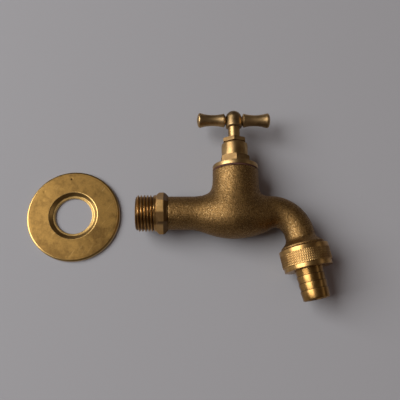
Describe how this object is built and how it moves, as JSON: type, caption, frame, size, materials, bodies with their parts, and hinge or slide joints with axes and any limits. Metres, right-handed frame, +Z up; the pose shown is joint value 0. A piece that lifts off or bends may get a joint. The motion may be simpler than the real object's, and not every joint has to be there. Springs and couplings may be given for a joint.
{
  "type": "garden tap",
  "caption": "Wall-mounted screw-down tap with a tee handle, threaded inlet, down-curved spout, knurled union and barbed hose tail, with a loose round wall rose.",
  "frame": {"origin": "on the inlet axis, at the plane where the inlet thread ends at its hexagon", "axes": "+X along the inlet axis from the inlet towards the outlet, +Z up along the spindle, +Y away from the viewer of the picture; the loose rose lies face to -Y"},
  "size_m": [0.1763, 0.0284, 0.1153],
  "materials": {
    "cast_brass": "sand-cast, matte and grainy",
    "machined_brass": "turned, satin",
    "handle_brass": "polished and slightly tarnished",
    "rose_brass": "satin, mottled with age",
    "red_fibre": "reddish-brown pressed fibre",
    "packing_cord": "waxed packing cord",
    "black_rubber": "smooth"
  },
  "bodies": {
    "fixed_body": {"tap_body": "cast_brass", "bonnet_washer": "red_fibre", "bonnet": "machined_brass", "packing_base_ring": "machined_brass", "gland_packing": "packing_cord", "gland_follower": "machined_brass", "gland_screw": "machined_brass", "wall_rose": "rose_brass"},
    "valve": {"jumper": "machined_brass", "valve_washer": "black_rubber", "washer_plate": "machined_brass", "washer_nut": "machined_brass"},
    "spindle_and_handle": {"spindle": "machined_brass", "handle_hub": "handle_brass", "handle_bar": "machined_brass", "handle_arm_inlet": "handle_brass", "handle_arm_outlet": "handle_brass"},
    "union_seal": {"union_washer": "black_rubber"},
    "nut": {"union_nut": "machined_brass"},
    "tail": {"hose_tail": "machined_brass"}
  },
  "joints": [
    {"name": "valve_lift", "type": "slide", "parent": "fixed_body", "child": "valve", "axis": [0, 0, 1], "range_m": [0, 0.005]},
    {"name": "handle_turn", "type": "hinge", "parent": "valve", "child": "spindle_and_handle", "pos_m": [0.0463, 0, 0.0584], "axis": [0, 0, 1], "range_deg": [0, 900]},
    {"name": "union_travel", "type": "slide", "parent": "fixed_body", "child": "union_seal", "axis": [0.1908, 0, -0.9816], "range_m": [0, 0.00544]},
    {"name": "nut_turn", "type": "hinge", "parent": "union_seal", "child": "nut", "pos_m": [0.08456, 0, -0.02586], "axis": [0.1908, 0, -0.9816], "range_deg": [0, 1080]},
    {"name": "tail_swivel", "type": "hinge", "parent": "union_seal", "child": "tail", "pos_m": [0.08571, 0, -0.03175], "axis": [0.1908, 0, -0.9816], "continuous": true}
  ],
  "couplings": [
    {"joint": "valve_lift", "follows": "handle_turn", "m_per_rad": 0.0003183},
    {"joint": "union_travel", "follows": "nut_turn", "m_per_rad": 0.0002887}
  ]
}
